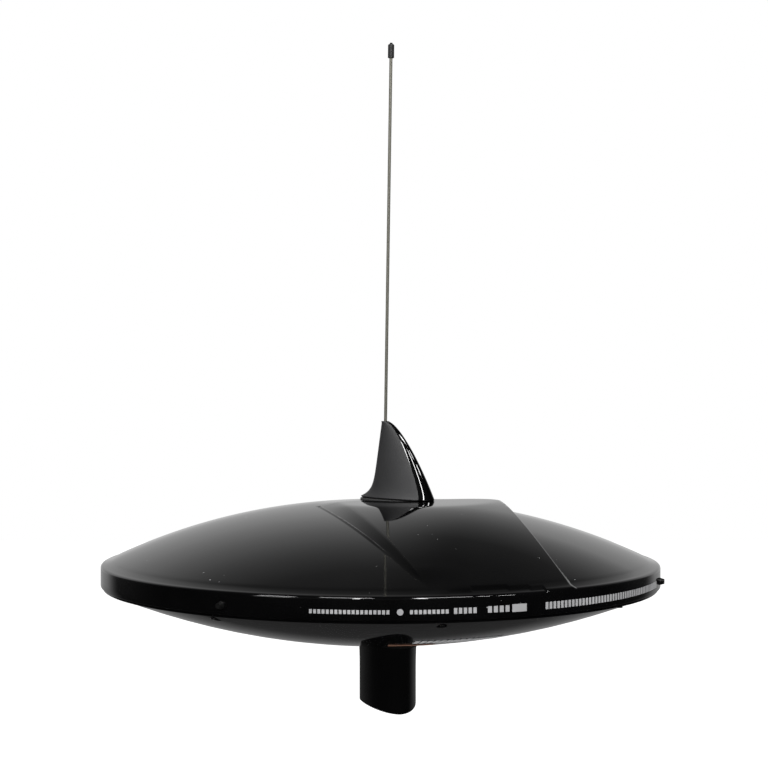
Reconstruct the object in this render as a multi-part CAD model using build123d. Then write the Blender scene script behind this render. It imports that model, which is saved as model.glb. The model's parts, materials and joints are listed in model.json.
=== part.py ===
"""Disc-shaped omnidirectional television antenna with a shark-fin whip mount.

Millimetres, +Z up. The origin is the centre of the mast socket's mouth, at the
foot of the stem. The hull is built about its own axis with z = 0 on the rim
seam and is then moved into place by to_row().
"""
import os
from math import cos, exp, hypot, pi, radians, sin, tan

from build123d import *

# ---------------------------------------------------------------- hull
DISC_RADIUS = 175.0
SEAM_HEIGHT = 79.4
HULL_AXIS = (-4.8, -20.0)
WALL = 2.5
BAND_HEIGHT = 11.0
SHOULDER_RADIUS = 171.5
CROWN_HEIGHT = 50.5
CROWN_FALL = 4.5e-4
CROWN_POWER = 2.2
KEEL_DEPTH = 36.0
KEEL_RADIUS = 174.7
KEEL_SPHERE = (KEEL_RADIUS ** 2 + KEEL_DEPTH ** 2) / (2 * KEEL_DEPTH)
LIP_RADIUS = 173.5
LIP_HEIGHT = 1.3
FLANGE_INNER = 156.0
FLANGE_THICKNESS = 3.0
GASKET_HALF = 0.25

# ---------------------------------------------------------------- raised hood
PLATEAU_HEIGHT = 51.5
HOOD_LIFT = 5.04
HOOD_LIFT_POWER = 2.5
HOOD_EDGE_RADIUS = 172.0
HOOD_LEFT = ((-37.0, -28.0), (-19.5, -96.0), (25.0, -170.0))
HOOD_RIGHT = ((80.5, 0.0), (83.0, -75.0), (106.0, -141.0))
HOOD_FRONT = ((30.0, -185.0), (112.0, -160.0))
HOOD_BACK = ((60.0, 55.0), (-30.0, 55.0))

# ---------------------------------------------------------------- fin and whip
FIN_HEADING = 58.0
FIN_FOOT = 53.0
FIN_TIP = 101.0
FIN_WALL = 2.4
FIN_SECTIONS = 9
FIN_CAVITY_TOP = 74.0
WHIP_BASE = (3.6, 6.4)
WHIP_LEAN = 0.86
WHIP_TOP = 342.6
ROD_RADIUS = 1.0
STUD_RADIUS = 1.2
STUD_BOTTOM = 62.0
STUD_TOP = 72.0
THREAD_CLEARANCE = 0.05
FIN_HOLE_RADIUS = 1.3
INSERT_RADIUS = 3.4
INSERT_BOTTOM = 58.0
CORE_RADIUS = 5.2
WHIP_HOLE_RADIUS = 4.5
FIN_SCREW_REACHES = (17.0, 27.0)
FIN_SCREW_TOP = 62.0
FIN_COLUMN_RADIUS = 3.4
FIN_COLUMN_TOP = 80.0
FIN_PAD_OVERHANG = 0.8
SEAL_RADIUS = 2.2
SEAL_HEIGHT = 1.5
SEAL_GAP = 0.3
SEAL_ROOM_RADIUS = 2.6
SEAL_ROOM_TOP = 78.5
CAP_RADIUS = 2.0
CAP_LENGTH = 9.5
CAP_COVER = 2.6
CAP_ROUNDING = 0.9
NUB_RADIUS = 0.9
NUB_HEIGHT = 0.8
LEAD_RADIUS = 0.7

# ---------------------------------------------------------------- stem and mast socket
STEM_BACK_RADIUS = 17.8
STEM_REACH = 48.9
STEM_HEADING = 8.6
STEM_FLANK_POWER = 1.55
STEM_NOSE_POWER = 0.55
STEM_FOOT_ROUNDING = 0.8
STEM_PAD = 7.0
SOCKET_RADIUS = 12.7
SOCKET_LENGTH = 25.0
INSERT_SLEEVE_RADIUS = 15.0
CHAMBER_RADIUS = 8.5
STEM_GASKET = 1.5
STEM_HEIGHT = SEAM_HEIGHT - KEEL_DEPTH - STEM_GASKET
STEM_SCREW_CIRCLE = 13.2
STEM_SCREW_ANGLES = (30.0, 150.0, 270.0)
STEM_SCREW_DEPTH = 10.0

# ---------------------------------------------------------------- inside the hull
PLATE_RADIUS = 104.0
PLATE_HOLE_RADIUS = 15.0
PLATE_BOTTOM = 2.0
PLATE_THICKNESS = 1.5
POST_CIRCLE = 90.0
STANDOFF_HEIGHT = 4.0
BOARD_SIZE = (84.0, 62.0, 1.6)
CHIPS = ((-26.0, -14.0, 9.0, 7.0), (-28.0, 16.0, 6.0, 6.0), (26.0, 20.0, 12.0, 6.0), (-32.0, 2.0, 5.0, 4.0))
CHIP_HEIGHT = 1.6
CAN_SIZE = (26.0, 20.0, 5.5)
CAN_PLACE = (18.0, -17.0)
BALUN_PLACE = (-10.0, -12.0)
ARM_BOTTOM = 16.0
ARM_THICKNESS = 1.5
ARM_INNER = 16.0
ARM_OUTER = 146.0
ARM_ROOT_WIDTH = 12.0
ARM_TIP_WIDTH = 34.0
SPIDER_RADIUS = 62.0
SPIDER_WIDTH = 10.0
SPIDER_THICKNESS = 2.0
PLATE_TOP = PLATE_BOTTOM + PLATE_THICKNESS
BOARD_BOTTOM = PLATE_TOP + STANDOFF_HEIGHT
BOARD_TOP = BOARD_BOTTOM + BOARD_SIZE[2]

# ---------------------------------------------------------------- fasteners and small parts
RIM_SCREW_CIRCLE = 164.0
RIM_SCREWS = 8
RIM_SCREW_FIRST = 11.0
RIM_SCREW_SEAT = -2.4
PAD_THICKNESS = 4.0
M3_RADIUS = 1.5
M3_HEAD_RADIUS = 2.9
M3_HEAD_HEIGHT = 1.7
HOLE_GAP = 0.15
SCREW_GAP = 0.02
POST_RADIUS = 4.0
CONNECTOR_RADIUS = 4.7
PLUG_ANGLES = (-30.0, 74.0, 150.0, -106.0)
PLUG_HEIGHT = 5.5
VENT_PLACE = (-55.0, 10.0)


def to_row(shape):
    """Moves a shape from the hull's own frame into the part's frame."""
    return Pos(HULL_AXIS[0], HULL_AXIS[1], SEAM_HEIGHT) * shape


def polar(radius, angle):
    """A point at a compass angle counted from -Y towards +X."""
    return radius * sin(radians(angle)), -radius * cos(radians(angle))


def crown(radius):
    """Height of the plain upper dome above the seam."""
    return CROWN_HEIGHT - CROWN_FALL * radius ** CROWN_POWER


def hood(radius):
    """Height of the hood's slope above the seam, which meets the dome at the rim."""
    return crown(radius) + HOOD_LIFT * (1.0 - (radius / HOOD_EDGE_RADIUS) ** HOOD_LIFT_POWER)


def keel(radius):
    """Height of the lower dome, which is a shallow spherical cap."""
    return KEEL_SPHERE - KEEL_DEPTH - (KEEL_SPHERE ** 2 - radius ** 2) ** 0.5


def dome_points(surface, last_radius, inset=0.0, steps=8):
    """Points down a dome's section, moved inwards along its normal by inset."""
    points = []
    for i in range(steps + 1):
        radius = last_radius * i / steps
        slope = (surface(radius + 0.01) - surface(abs(radius - 0.01))) / 0.02
        length = hypot(1.0, slope)
        points.append((radius + inset * slope / length, surface(radius) - inset / length))
    points[0] = (0.0, points[0][1])
    return points


def keel_body(inset, ceiling):
    """The full lower cap, moved inwards by inset and cut off at a flat ceiling."""
    sphere = KEEL_SPHERE - inset
    centre = KEEL_SPHERE - KEEL_DEPTH
    rim = (sphere ** 2 - (centre - ceiling) ** 2) ** 0.5
    middle = rim / 2
    with BuildPart() as body:
        with BuildSketch(Plane.XZ):
            with BuildLine():
                ThreePointArc(
                    (0.0, centre - sphere),
                    (middle, centre - (sphere ** 2 - middle ** 2) ** 0.5),
                    (rim, ceiling),
                )
                Line((rim, ceiling), (0.0, ceiling))
                Line((0.0, ceiling), (0.0, centre - sphere))
            make_face()
        revolve(axis=Axis.Z)
    return body.part


def dome_solid(surface, last_radius, inset=0.0, floor=0.0):
    """The full body under a dome surface, down to a flat floor."""
    points = dome_points(surface, last_radius, inset)
    rim_radius, rim_height = points[-1]
    with BuildPart() as body:
        with BuildSketch(Plane.XZ):
            with BuildLine():
                Spline(points)
                Line(points[-1], (rim_radius, floor))
                Line((rim_radius, floor), (0.0, floor))
                Line((0.0, floor), points[0])
            make_face()
        revolve(axis=Axis.Z)
    return body.part


def ring(outer, inner, low, high):
    """A flat ring between two heights."""
    height = high - low
    tube = Cylinder(outer, height) - Cylinder(inner, height + 1.0)
    return Pos(0, 0, (low + high) / 2) * tube


def rod(radius, low, high, place=(0.0, 0.0)):
    """A vertical cylinder between two heights."""
    return Pos(place[0], place[1], (low + high) / 2) * Cylinder(radius, high - low)


def hexagon(across, low, high, place=(0.0, 0.0)):
    """A vertical hexagonal prism between two heights."""
    prism = extrude(RegularPolygon(across / 2, 6, major_radius=False), high - low)
    return Pos(place[0], place[1], low) * prism


def rim_screw_places():
    """Centres of the screws that hold the two shells together."""
    step = 360.0 / RIM_SCREWS
    return [polar(RIM_SCREW_CIRCLE, RIM_SCREW_FIRST + step * i) for i in range(RIM_SCREWS)]


def plate_screw_places():
    """Centres of the four posts that carry the ground plate."""
    return [polar(POST_CIRCLE, 45.0 + 90.0 * i) for i in range(4)]


def board_corner_places():
    """Centres of the four standoffs under the amplifier board."""
    x = BOARD_SIZE[0] / 2 - 4.0
    y = BOARD_SIZE[1] / 2 - 4.0
    return [(x, y), (-x, y), (-x, -y), (x, -y)]


# ---------------------------------------------------------------- stem outline
def stem_outline(grow=0.0):
    """Teardrop plan of the stem about the socket axis: a round back and a slim nose."""
    back = STEM_BACK_RADIUS + grow
    reach = STEM_REACH + grow
    steps = 8
    flank = []
    for i in range(steps + 1):
        share = sin(pi / 2 * i / steps)
        flank.append((back * (1.0 - share ** STEM_FLANK_POWER) ** STEM_NOSE_POWER, -reach * share))
    mirrored = [(-x, y) for x, y in reversed(flank[:-1])]
    with BuildSketch() as plan:
        with BuildLine():
            Spline(flank + mirrored, tangents=[(0, -1), (0, 1)])
            ThreePointArc((-back, 0.0), (0.0, back), (back, 0.0))
        make_face()
    return Rot(0, 0, STEM_HEADING) * plan.sketch


def stem_prism(low, high, grow=0.0):
    """The stem's outline extruded between two heights of the part's frame."""
    return Pos(0, 0, low) * extrude(stem_outline(grow), high - low)


# ---------------------------------------------------------------- shells
def band_body():
    """The full upper body: rim band, rounded shoulder and plain dome."""
    points = dome_points(crown, SHOULDER_RADIUS)
    shoulder = points[-1]
    slope = (crown(SHOULDER_RADIUS) - crown(SHOULDER_RADIUS - 0.01)) / 0.01
    with BuildPart() as body:
        with BuildSketch(Plane.XZ):
            with BuildLine():
                dome = Spline(points, tangents=[(1, 0), (1, slope)])
                corner = (DISC_RADIUS, BAND_HEIGHT)
                TangentArc(shoulder, corner, tangent=(1, slope))
                Line(corner, (DISC_RADIUS, GASKET_HALF))
                Line((DISC_RADIUS, GASKET_HALF), (0.0, GASKET_HALF))
                Line((0.0, GASKET_HALF), points[0])
            make_face()
        revolve(axis=Axis.Z)
    return body.part


def hood_body():
    """The raised hood: a flat top and a long slope between two curved edges."""
    with BuildSketch() as plan:
        with BuildLine():
            Bezier(*HOOD_LEFT)
            Polyline(HOOD_LEFT[-1], *HOOD_FRONT, HOOD_RIGHT[-1])
            Bezier(*reversed(HOOD_RIGHT))
            Bezier(HOOD_RIGHT[0], *HOOD_BACK, HOOD_LEFT[0])
        make_face()
    column = extrude(plan.sketch, PLATEAU_HEIGHT)
    return dome_solid(hood, HOOD_EDGE_RADIUS - 1.0, floor=GASKET_HALF) & column


def top_shell():
    """Upper shell with its hood, inner flange and screw bosses."""
    outer = band_body()
    bosses = [rod(POST_RADIUS, GASKET_HALF, CROWN_HEIGHT, place) for place in rim_screw_places()]
    bosses = [boss & outer for boss in bosses]
    body = outer + hood_body()
    cavity = dome_solid(crown, DISC_RADIUS - WALL - 1.0, WALL, floor=GASKET_HALF - 1.0)
    body -= cavity
    flange = ring(DISC_RADIUS - 1.0, FLANGE_INNER, GASKET_HALF, FLANGE_THICKNESS)
    body += flange & outer
    for boss in bosses:
        body += boss
    for place in rim_screw_places():
        body -= rod(M3_RADIUS, GASKET_HALF - 1.0, 8.5, place)
    body -= rod(WHIP_HOLE_RADIUS, 40.0, FIN_FOOT, WHIP_BASE)
    for place in fin_screw_places():
        body -= rod(M3_RADIUS + HOLE_GAP, 40.0, FIN_FOOT, place)
    for angle in PLUG_ANGLES:
        body -= plug_solid(angle, M3_RADIUS)
    return body


def bottom_shell():
    """Lower shell with lip, flange, plate posts and the thick pad over the stem."""
    outer = keel_body(0.0, -LIP_HEIGHT)
    outer += ring(LIP_RADIUS, FLANGE_INNER, -LIP_HEIGHT, -GASKET_HALF)
    body = outer - keel_body(WALL, 2.0)
    flange = ring(LIP_RADIUS - 1.0, FLANGE_INNER, -FLANGE_THICKNESS, -GASKET_HALF)
    body += flange & keel_body(0.0, 1.0)
    socket = Pos(-HULL_AXIS[0], -HULL_AXIS[1], -SEAM_HEIGHT)
    floor = SEAM_HEIGHT - KEEL_DEPTH
    body += socket * stem_prism(floor, floor + PAD_THICKNESS, STEM_PAD + 1.0)
    for place in plate_screw_places():
        body += rod(POST_RADIUS, -KEEL_DEPTH, PLATE_BOTTOM, place) & keel_body(0.0, PLATE_BOTTOM + 5.0)
        body -= rod(M3_RADIUS, PLATE_BOTTOM - 8.0, PLATE_BOTTOM + 1.0, place)
    for place in rim_screw_places():
        body -= rod(M3_RADIUS + HOLE_GAP, -10.0, 1.0, place)
        body -= rod(M3_HEAD_RADIUS + HOLE_GAP, -10.0, RIM_SCREW_SEAT, place)
    centre = (-HULL_AXIS[0], -HULL_AXIS[1])
    body -= rod(CONNECTOR_RADIUS + HOLE_GAP, -KEEL_DEPTH - 1.0, -KEEL_DEPTH + 5.0, centre)
    for x, y in stem_screw_places():
        place = (centre[0] + x, centre[1] + y)
        body -= rod(M3_RADIUS + HOLE_GAP, -KEEL_DEPTH - 1.0, -KEEL_DEPTH + 5.0, place)
    body -= rod(3.0 + HOLE_GAP, -KEEL_DEPTH - 1.0, 0.0, VENT_PLACE)
    return body


def rim_gasket():
    """Flat gasket squeezed between the shells, with holes for the rim screws."""
    body = ring(LIP_RADIUS - 0.7, FLANGE_INNER + 1.0, -GASKET_HALF, GASKET_HALF)
    for place in rim_screw_places():
        body -= rod(M3_RADIUS + 0.1, -1.0, 1.0, place)
    return body


def plug_solid(angle, radius):
    """The stalk of a rim plug, pointing straight out of the rim band."""
    x, y = polar(DISC_RADIUS - WALL, angle)
    stalk = Cylinder(radius, 3.0 * WALL)
    return Pos(x, y, PLUG_HEIGHT) * Rot(0, 0, angle) * Rot(90, 0, 0) * stalk


def rim_plugs():
    """Rubber plugs that close the drain and latch holes of the rim band."""
    plugs = []
    for angle in PLUG_ANGLES:
        x, y = polar(DISC_RADIUS, angle)
        head = Rot(90, 0, 0) * Cone(2.3, 1.5, 3.0, align=(Align.CENTER, Align.CENTER, Align.MIN))
        stalk = Rot(90, 0, 0) * Pos(0, 0, -4.5) * Cylinder(M3_RADIUS - SCREW_GAP, 9.0)
        outside = Pos(x, y, PLUG_HEIGHT) * Rot(0, 0, angle) * head
        inside = Pos(x, y, PLUG_HEIGHT) * Rot(0, 0, angle) * stalk
        plugs.append((outside - ring(DISC_RADIUS, 100.0, 0.0, BAND_HEIGHT)) + inside)
    return plugs


def rim_screws():
    """Pan-head screws driven up from below through both flanges."""
    screws = []
    for place in rim_screw_places():
        head = rod(M3_HEAD_RADIUS, RIM_SCREW_SEAT - M3_HEAD_HEIGHT, RIM_SCREW_SEAT, place)
        shank = rod(M3_RADIUS - SCREW_GAP, RIM_SCREW_SEAT, 7.5, place)
        slots = Box(3.4, 0.7, 1.4) + Box(0.7, 3.4, 1.4)
        cross = Pos(place[0], place[1], RIM_SCREW_SEAT - M3_HEAD_HEIGHT) * slots
        screws.append(head + shank - cross)
    return screws


# ---------------------------------------------------------------- fin
def fin_edges(share):
    """Trailing and leading edges across the view of the fin at a share of its height."""
    trailing = -5.0 + 6.3 * share - 7.0 * exp(-share / 0.08)
    leading = 5.1 + 28.9 * (1.0 - share) ** 0.68
    return trailing, leading


def fin_section(share, shrink=0.0):
    """One level of the fin as (centre x, centre y, half chord, half width)."""
    heading = radians(FIN_HEADING)
    trailing, leading = fin_edges(share)
    half = (leading - trailing) / 2
    width = 2.0 + 8.0 * (1.0 - share) ** 1.1 + 1.5 * exp(-share / 0.06)
    chord = max((half ** 2 - (width * cos(heading)) ** 2), 4.0) ** 0.5 / sin(heading)
    x = (leading + trailing) / 2
    y = WHIP_BASE[1] - (x - WHIP_BASE[0]) / sin(heading) * cos(heading)
    return x, y, chord - shrink, width - shrink


def fin_body(shrink=0.0, low=0.0, high=1.0):
    """The fin lofted through its levels, optionally shrunk to make its inside."""
    faces = []
    for i in range(FIN_SECTIONS):
        share = low + (high - low) * i / (FIN_SECTIONS - 1)
        x, y, chord, width = fin_section(share, shrink)
        z = FIN_FOOT + (FIN_TIP - FIN_FOOT) * share
        outline = Rot(0, 0, FIN_HEADING - 90.0) * Ellipse(chord, width)
        faces.append(Pos(x, y, z) * outline)
    return loft(faces)


def whip_axis(height):
    """Place of the whip's leaning axis at a height above the seam."""
    shift = (height - FIN_TIP) * tan(radians(WHIP_LEAN))
    return WHIP_BASE[0] + shift, WHIP_BASE[1], height


def whip_rod_between(radius, low, high):
    """A cylinder along the whip's leaning axis between two heights."""
    x, y, z = whip_axis((low + high) / 2)
    length = (high - low) / cos(radians(WHIP_LEAN))
    return Pos(x, y, z) * Rot(0, WHIP_LEAN, 0) * Cylinder(radius, length)


def fin_screw_places():
    """Two screws inside the fin, ahead of and behind the whip."""
    heading = radians(FIN_HEADING)
    places = []
    for reach in FIN_SCREW_REACHES:
        places.append((WHIP_BASE[0] + reach * sin(heading), WHIP_BASE[1] - reach * cos(heading)))
    return places


def fin_cover():
    """Hollow shark-fin cover with a solid core that holds the whip's insert."""
    outer = fin_body()
    top_share = (FIN_CAVITY_TOP - FIN_FOOT) / (FIN_TIP - FIN_FOOT)
    cavity = fin_body(FIN_WALL, 0.0, top_share)
    core = whip_rod_between(CORE_RADIUS, INSERT_BOTTOM, FIN_CAVITY_TOP + 2.0) & outer
    body = outer - cavity + core
    for place in fin_screw_places():
        body += rod(FIN_COLUMN_RADIUS, FIN_FOOT, FIN_COLUMN_TOP, place) & outer
    body -= whip_rod_between(INSERT_RADIUS, INSERT_BOTTOM - 1.0, STUD_TOP)
    body -= whip_rod_between(SEAL_ROOM_RADIUS, STUD_TOP - 0.1, SEAL_ROOM_TOP)
    body -= whip_rod_between(FIN_HOLE_RADIUS, SEAL_ROOM_TOP - 0.1, FIN_TIP + 2.0)
    for place in fin_screw_places():
        body -= rod(M3_RADIUS, FIN_FOOT - 1.0, FIN_SCREW_TOP + 1.0, place)
    return body


def fin_gasket():
    """Rubber pad between the fin's flat foot and the hood's flat top."""
    x, y, chord, width = fin_section(0.0)
    outline = Ellipse(chord + FIN_PAD_OVERHANG, width + FIN_PAD_OVERHANG)
    place = Pos(x, y, PLATEAU_HEIGHT) * Rot(0, 0, FIN_HEADING - 90.0)
    pad = extrude(place * outline, FIN_FOOT - PLATEAU_HEIGHT)
    pad -= rod(WHIP_HOLE_RADIUS, PLATEAU_HEIGHT - 1.0, FIN_FOOT + 1.0, WHIP_BASE)
    for place in fin_screw_places():
        pad -= rod(M3_RADIUS + HOLE_GAP, PLATEAU_HEIGHT - 1.0, FIN_FOOT + 1.0, place)
    return pad


def fin_screws():
    """Screws driven up from inside the upper shell into the fin."""
    screws = []
    for place in fin_screw_places():
        seat = crown(hypot(*place)) - WALL - 0.3
        head = rod(M3_HEAD_RADIUS, seat - M3_HEAD_HEIGHT, seat, place)
        screws.append(head + rod(M3_RADIUS - SCREW_GAP, seat, FIN_SCREW_TOP, place))
    return screws


# ---------------------------------------------------------------- whip
def whip_insert():
    """Brass threaded insert in the fin's core, closed at its lower end."""
    body = whip_rod_between(INSERT_RADIUS, INSERT_BOTTOM, STUD_TOP)
    body -= whip_rod_between(STUD_RADIUS + THREAD_CLEARANCE, STUD_BOTTOM - 0.5, STUD_TOP + 1.0)
    return body


def whip_seal():
    """Sealing ring on the whip just above its threaded stud."""
    low = STUD_TOP + SEAL_GAP
    high = low + SEAL_HEIGHT
    ring_body = whip_rod_between(SEAL_RADIUS, low, high)
    return ring_body - whip_rod_between(ROD_RADIUS + THREAD_CLEARANCE, low - 1.0, high + 1.0)


def whip_stud():
    """Threaded lower end of the whip, left plain."""
    return whip_rod_between(STUD_RADIUS, STUD_BOTTOM, STUD_TOP)


def whip_rod():
    """Slim steel whip from the stud up into its cap."""
    return whip_rod_between(ROD_RADIUS, STUD_TOP, WHIP_TOP - CAP_COVER)


def whip_tip_cap():
    """Rounded cap on the whip's tip, blind at its upper end."""
    low = WHIP_TOP - CAP_LENGTH
    barrel = whip_rod_between(CAP_RADIUS, low, WHIP_TOP - NUB_HEIGHT)
    barrel = fillet(barrel.edges().group_by(Axis.Z)[-1], CAP_ROUNDING)
    nub = whip_rod_between(NUB_RADIUS, WHIP_TOP - NUB_HEIGHT - 0.1, WHIP_TOP)
    return barrel + nub - whip_rod_between(ROD_RADIUS, low - 1.0, WHIP_TOP - CAP_COVER)


def whip_lead():
    """Insulated wire from the whip's insert down to the amplifier board."""
    x, y, z = whip_axis(INSERT_BOTTOM)
    path = FilletPolyline(
        (x, y, z),
        (x, y, 34.0),
        (x - 9.0, y + 4.0, 22.0),
        (x - 9.0, y + 4.0, BOARD_TOP),
        radius=5.0,
    )
    return sweep(Plane(path @ 0, z_dir=path % 0) * Circle(LEAD_RADIUS), path)


# ---------------------------------------------------------------- stem
def stem_screw_places():
    """Screws that hold the stem, about the socket axis."""
    return [polar(STEM_SCREW_CIRCLE, angle + 180.0) for angle in STEM_SCREW_ANGLES]


def mast_stem():
    """Streamlined stem that hangs under the hull and houses the mast socket."""
    body = stem_prism(0.0, STEM_HEIGHT)
    body = fillet(body.edges().group_by(Axis.Z)[0], STEM_FOOT_ROUNDING)
    body -= rod(INSERT_SLEEVE_RADIUS, -1.0, SOCKET_LENGTH)
    body -= rod(CHAMBER_RADIUS, SOCKET_LENGTH - 1.0, STEM_HEIGHT + 1.0)
    for place in stem_screw_places():
        body -= rod(M3_RADIUS, STEM_HEIGHT - STEM_SCREW_DEPTH - 1.0, STEM_HEIGHT + 1.0, place)
    return body


def mast_insert():
    """Stainless sleeve that takes the one-inch mast ferrule."""
    return ring(INSERT_SLEEVE_RADIUS, SOCKET_RADIUS, 0.0, SOCKET_LENGTH)


def stem_gasket():
    """Flat gasket between the stem and the hull, a little wider than the stem."""
    body = stem_prism(STEM_HEIGHT, STEM_HEIGHT + STEM_GASKET, STEM_PAD)
    body -= rod(CHAMBER_RADIUS, STEM_HEIGHT - 1.0, STEM_HEIGHT + 3.0)
    for place in stem_screw_places():
        body -= rod(M3_RADIUS + HOLE_GAP, STEM_HEIGHT - 1.0, STEM_HEIGHT + 3.0, place)
    return body


def stem_screws():
    """Screws driven down from inside the hull into the stem."""
    floor = STEM_HEIGHT + STEM_GASKET + PAD_THICKNESS
    screws = []
    for place in stem_screw_places():
        head = rod(M3_HEAD_RADIUS, floor, floor + M3_HEAD_HEIGHT, place)
        screws.append(head + rod(M3_RADIUS - SCREW_GAP, STEM_HEIGHT - STEM_SCREW_DEPTH, floor, place))
    return screws


def f_connector():
    """Bulkhead F connector that hangs into the chamber above the mast socket."""
    floor = STEM_HEIGHT + STEM_GASKET + PAD_THICKNESS
    low = SOCKET_LENGTH + 2.4
    body = rod(CONNECTOR_RADIUS, low, floor)
    body += hexagon(12.0, floor, floor + 2.2)
    body += rod(3.0, floor + 2.2, floor + 5.5)
    body -= rod(3.2, low - 1.0, floor + 1.0)
    body -= rod(1.45, floor, floor + 6.0)
    return body


def f_connector_core():
    """White insulator and centre contact of the F connector."""
    floor = STEM_HEIGHT + STEM_GASKET + PAD_THICKNESS
    low = SOCKET_LENGTH + 3.4
    return rod(3.18, low, floor + 0.9) - rod(0.6, low - 1.0, low + 9.0)


def f_connector_nut():
    """Hexagonal lock nut under the hull's floor."""
    floor = STEM_HEIGHT + STEM_GASKET
    return hexagon(13.0, floor - 3.6, floor - 0.6) - rod(CONNECTOR_RADIUS + SCREW_GAP, floor - 5.0, floor)


def f_connector_washer():
    """Washer between the lock nut and the hull's floor."""
    floor = STEM_HEIGHT + STEM_GASKET
    return ring(7.2, CONNECTOR_RADIUS + 0.05, floor - 0.6, floor)


# ---------------------------------------------------------------- inside
def ground_plate():
    """Aluminium ground plate on the lower shell's posts."""
    body = ring(PLATE_RADIUS, PLATE_HOLE_RADIUS, PLATE_BOTTOM, PLATE_TOP)
    for place in plate_screw_places():
        body -= rod(M3_RADIUS + HOLE_GAP, 0.0, 6.0, place)
    for i in range(4):
        body -= rod(M3_RADIUS + HOLE_GAP, 0.0, 6.0, polar(SPIDER_RADIUS, 90.0 * i))
    return body


def plate_screws():
    """Screws through the ground plate into the posts."""
    screws = []
    for place in plate_screw_places():
        head = rod(M3_HEAD_RADIUS, PLATE_TOP, PLATE_TOP + M3_HEAD_HEIGHT, place)
        screws.append(head + rod(M3_RADIUS - SCREW_GAP, PLATE_BOTTOM - 7.0, PLATE_TOP, place))
    return screws


def standoffs():
    """Brass spacers between the ground plate and the board."""
    return [hexagon(5.0, PLATE_TOP, BOARD_BOTTOM, place) for place in board_corner_places()]


def amplifier_board():
    """Printed circuit board with its automatic-gain amplifier."""
    width, depth, thickness = BOARD_SIZE
    body = Pos(0, 0, BOARD_BOTTOM + thickness / 2) * Box(width, depth, thickness)
    for x, y, size_x, size_y in CHIPS:
        body += Pos(x, y, BOARD_TOP + CHIP_HEIGHT / 2) * Box(size_x, size_y, CHIP_HEIGHT)
    return body


def board_screws():
    """Small screws that clamp the board to its spacers."""
    return [rod(2.2, BOARD_TOP, BOARD_TOP + 1.2, place) for place in board_corner_places()]


def shield_can():
    """Tinned steel can over the tuner stage."""
    width, depth, height = CAN_SIZE
    low = BOARD_TOP + height / 2
    outer = Box(width, depth, height)
    inner = Pos(0, 0, -0.4) * Box(width - 0.8, depth - 0.8, height)
    return Pos(CAN_PLACE[0], CAN_PLACE[1], low) * (outer - inner)


def balun_core():
    """Ferrite ring of the matching transformer."""
    core = ring(6.0, 3.0, BOARD_TOP, BOARD_TOP + 4.5)
    return Pos(*BALUN_PLACE, 0) * core


def element_spider():
    """Plastic spider on four legs that carries the antenna elements."""
    low = ARM_BOTTOM - SPIDER_THICKNESS
    half = SPIDER_WIDTH / 2
    body = ring(SPIDER_RADIUS + half, SPIDER_RADIUS - half, low, ARM_BOTTOM)
    for i in range(4):
        place = polar(SPIDER_RADIUS, 90.0 * i)
        body += rod(half, PLATE_TOP, ARM_BOTTOM, place)
        body -= rod(M3_RADIUS, PLATE_TOP - 1.0, ARM_BOTTOM + 1.0, place)
    return body


def dipole_arm(angle):
    """One flared arm of the crossed dipoles."""
    root = ARM_ROOT_WIDTH / 2
    tip = ARM_TIP_WIDTH / 2
    corners = [(-root, -ARM_INNER), (-tip, -ARM_OUTER), (tip, -ARM_OUTER), (root, -ARM_INNER)]
    outline = make_face(Polyline(*corners, close=True))
    arm = Pos(0, 0, ARM_BOTTOM) * extrude(outline, ARM_THICKNESS)
    arm -= rod(M3_RADIUS + HOLE_GAP, ARM_BOTTOM - 1.0, ARM_BOTTOM + 3.0, (0.0, -SPIDER_RADIUS))
    return Rot(0, 0, angle) * arm


def arm_screws():
    """Screws through the arms into the spider."""
    screws = []
    top = ARM_BOTTOM + ARM_THICKNESS
    for i in range(4):
        place = polar(SPIDER_RADIUS, 90.0 * i)
        head = rod(M3_HEAD_RADIUS, top, top + M3_HEAD_HEIGHT, place)
        screws.append(head + rod(M3_RADIUS - SCREW_GAP, ARM_BOTTOM - 8.0, top, place))
    return screws


def feed_pins():
    """Four pins that join the arms' roots to the board."""
    return [rod(0.8, BOARD_TOP, ARM_BOTTOM, polar(ARM_INNER + 3.0, 90.0 * i)) for i in range(4)]


def coax_pigtail():
    """Inner coaxial lead from the F connector up to the board."""
    centre = (-HULL_AXIS[0], -HULL_AXIS[1])
    low = STEM_HEIGHT + STEM_GASKET + PAD_THICKNESS + 4.0 - SEAM_HEIGHT
    path = FilletPolyline(
        (centre[0], centre[1], low),
        (centre[0], centre[1], -16.0),
        (centre[0] - 6.0, centre[1] - 14.0, -4.0),
        (centre[0] - 6.0, centre[1] - 14.0, BOARD_BOTTOM),
        radius=7.0,
    )
    return sweep(Plane(path @ 0, z_dir=path % 0) * Circle(1.4), path)


def vent_plug():
    """Breather plug in the lower shell's floor."""
    low = keel(hypot(*VENT_PLACE))
    return rod(3.0, low - 0.8, low + WALL + 1.5, VENT_PLACE) + rod(4.5, low - 2.6, low - 0.8, VENT_PLACE)


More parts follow.
